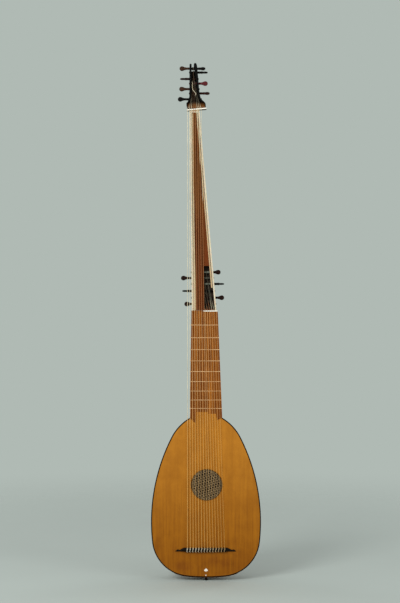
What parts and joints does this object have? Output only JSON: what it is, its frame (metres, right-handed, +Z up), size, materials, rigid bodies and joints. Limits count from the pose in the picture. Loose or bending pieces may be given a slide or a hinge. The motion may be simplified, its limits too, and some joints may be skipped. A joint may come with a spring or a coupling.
{
  "type": "theorbo",
  "caption": "Long-necked bass lute with a round ribbed body, pierced rose, tied frets, a pegbox above the fingerboard and a further one at the end of a long extension.",
  "frame": {"origin": "centre of the end button's flat lower face", "axes": "+Z up along the neck towards the upper pegbox, -Y out of the belly towards the player's hand, +X towards the treble strings"},
  "size_m": [0.4172, 0.1733, 1.9666],
  "materials": {
    "belly_spruce": "aged spruce, honey varnish, fine straight grain",
    "rib_wood": "varnished bent ribs, satin",
    "neck_wood": "brown veneer, satin",
    "fingerboard_wood": "striped brown hardwood, worn satin",
    "face_veneer": "reddish brown veneer with pale edge lines",
    "black_wood": "blackened hardwood, satin",
    "rose_wood": "pierced and carved fretwork, matt",
    "block_spruce": "bare softwood",
    "ivory": "polished ivory or bone",
    "gut_fret": "twisted gut, tied",
    "gut_string": "plain gut",
    "peg_wood": "turned and polished hardwood"
  },
  "bodies": {
    "root": {"soundboard": "belly_spruce", "rose": "rose_wood", "heart_inlay": "ivory", "neck_block": "block_spruce", "end_clasp": "rib_wood", "end_button": "black_wood", "bridge": "black_wood", "neck": "neck_wood", "fingerboard": "fingerboard_wood", "lower_nut": "ivory", "extension": "neck_wood", "extension_face": "face_veneer", "upper_pegbox": "black_wood", "upper_nut": "ivory", "rib_1": "rib_wood", "rib_2": "rib_wood", "rib_3": "rib_wood", "rib_4": "rib_wood", "rib_5": "rib_wood", "rib_6": "rib_wood", "rib_7": "rib_wood", "rib_8": "rib_wood", "rib_9": "rib_wood", "fret_1": "gut_fret", "fret_2": "gut_fret", "fret_3": "gut_fret", "fret_4": "gut_fret", "fret_5": "gut_fret", "fret_6": "gut_fret", "fret_7": "gut_fret", "fret_8": "gut_fret", "fret_9": "gut_fret", "string_1": "gut_string", "string_2": "gut_string", "string_3": "gut_string", "string_4": "gut_string", "string_5": "gut_string", "string_6": "gut_string", "string_7": "gut_string", "string_8": "gut_string", "string_9": "gut_string", "string_10": "gut_string", "string_11": "gut_string", "string_12": "gut_string", "string_13": "gut_string", "string_14": "gut_string"},
    "peg_1": {"peg_1": "peg_wood"},
    "peg_2": {"peg_2": "peg_wood"},
    "peg_3": {"peg_3": "peg_wood"},
    "peg_4": {"peg_4": "peg_wood"},
    "peg_5": {"peg_5": "peg_wood"},
    "peg_6": {"peg_6": "peg_wood"},
    "peg_7": {"peg_7": "peg_wood"},
    "peg_8": {"peg_8": "peg_wood"},
    "peg_9": {"peg_9": "peg_wood"},
    "peg_10": {"peg_10": "peg_wood"},
    "peg_11": {"peg_11": "peg_wood"},
    "peg_12": {"peg_12": "peg_wood"},
    "peg_13": {"peg_13": "peg_wood"},
    "peg_14": {"peg_14": "peg_wood"}
  },
  "joints": [
    {"name": "peg_1_turn", "type": "hinge", "parent": "root", "child": "peg_1", "pos_m": [0.0354, 0.00648, 1.07417], "axis": [-1, 0, 0], "continuous": true},
    {"name": "peg_2_turn", "type": "hinge", "parent": "root", "child": "peg_2", "pos_m": [0.03095, 0.00648, 1.12655], "axis": [-1, 0, 0], "continuous": true},
    {"name": "peg_3_turn", "type": "hinge", "parent": "root", "child": "peg_3", "pos_m": [0.02714, 0.00648, 1.17134], "axis": [-1, 0, 0], "continuous": true},
    {"name": "peg_4_turn", "type": "hinge", "parent": "root", "child": "peg_4", "pos_m": [-0.05522, 0.00648, 1.14903], "axis": [1, 0, 0], "continuous": true},
    {"name": "peg_5_turn", "type": "hinge", "parent": "root", "child": "peg_5", "pos_m": [-0.05473, 0.00648, 1.09968], "axis": [1, 0, 0], "continuous": true},
    {"name": "peg_6_turn", "type": "hinge", "parent": "root", "child": "peg_6", "pos_m": [-0.05424, 0.00648, 1.05017], "axis": [1, 0, 0], "continuous": true},
    {"name": "peg_7_turn", "type": "hinge", "parent": "root", "child": "peg_7", "pos_m": [-0.02409, 0.00644, 1.85261], "axis": [-1, 0, 0], "continuous": true},
    {"name": "peg_8_turn", "type": "hinge", "parent": "root", "child": "peg_8", "pos_m": [-0.028, 0.00996, 1.89069], "axis": [-1, 0, 0], "continuous": true},
    {"name": "peg_9_turn", "type": "hinge", "parent": "root", "child": "peg_9", "pos_m": [-0.03168, 0.01604, 1.93379], "axis": [-1, 0, 0], "continuous": true},
    {"name": "peg_10_turn", "type": "hinge", "parent": "root", "child": "peg_10", "pos_m": [-0.03291, 0.001, 1.9458], "axis": [-1, 0, 0], "continuous": true},
    {"name": "peg_11_turn", "type": "hinge", "parent": "root", "child": "peg_11", "pos_m": [-0.06273, 0.01652, 1.94884], "axis": [1, 0, 0], "continuous": true},
    {"name": "peg_12_turn", "type": "hinge", "parent": "root", "child": "peg_12", "pos_m": [-0.06293, 0.01252, 1.90852], "axis": [1, 0, 0], "continuous": true},
    {"name": "peg_13_turn", "type": "hinge", "parent": "root", "child": "peg_13", "pos_m": [-0.06312, 0.00804, 1.86937], "axis": [1, 0, 0], "continuous": true},
    {"name": "peg_14_turn", "type": "hinge", "parent": "root", "child": "peg_14", "pos_m": [-0.06622, 0.005, 1.83003], "axis": [1, 0, 0], "continuous": true}
  ]
}
